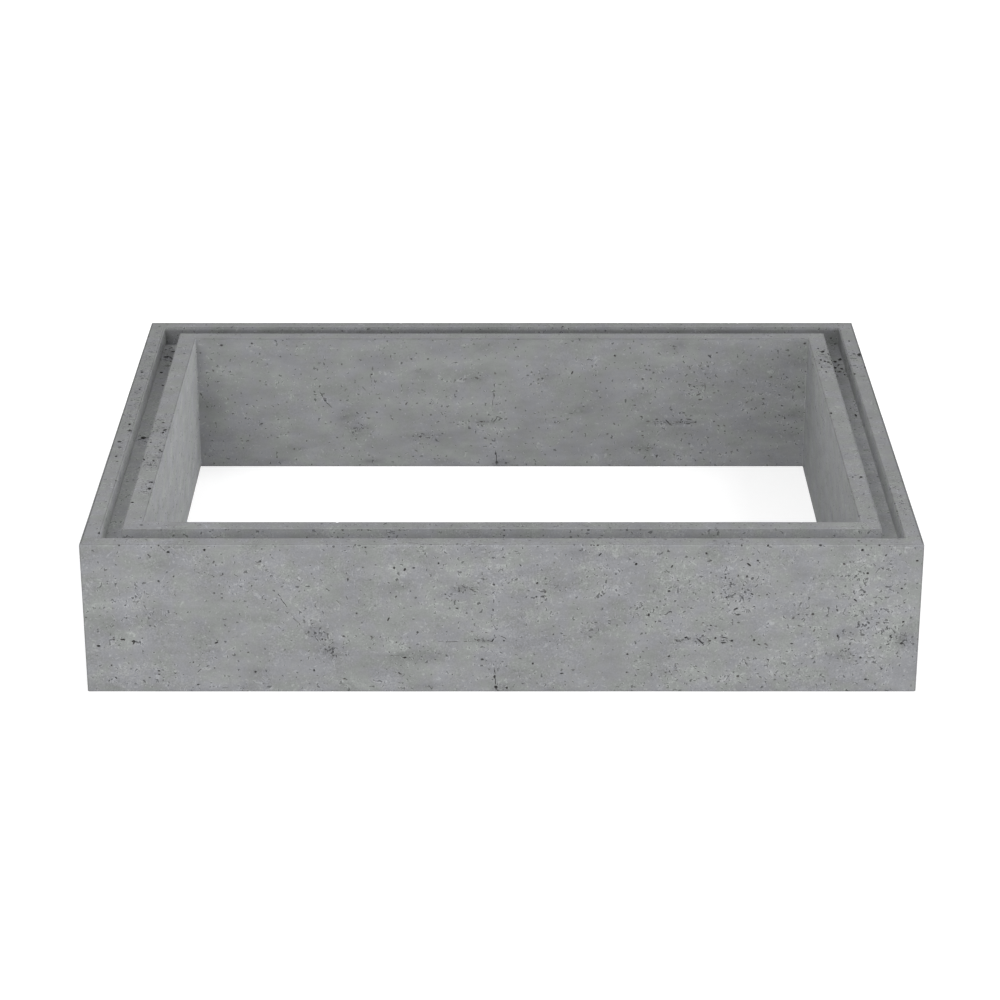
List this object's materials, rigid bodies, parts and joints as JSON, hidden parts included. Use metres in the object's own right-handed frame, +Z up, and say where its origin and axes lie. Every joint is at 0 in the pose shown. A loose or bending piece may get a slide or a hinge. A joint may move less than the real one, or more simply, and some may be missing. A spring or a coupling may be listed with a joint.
{
  "type": "manhole section",
  "caption": "Precast concrete manhole section: a low rectangular ring with upright walls, an open middle and a jointing groove cut round its top face.",
  "frame": {"origin": "middle of the underside, on the level that the section stands on", "axes": "+X along the longer side, +Y along the shorter side, +Z up towards the grooved top face"},
  "size_m": [1.16, 0.91, 0.225],
  "materials": {
    "concrete": "matt cast concrete with blowholes and cloudy grey mottling"
  },
  "bodies": {
    "root": {"manhole_section": "concrete"}
  },
  "joints": []
}
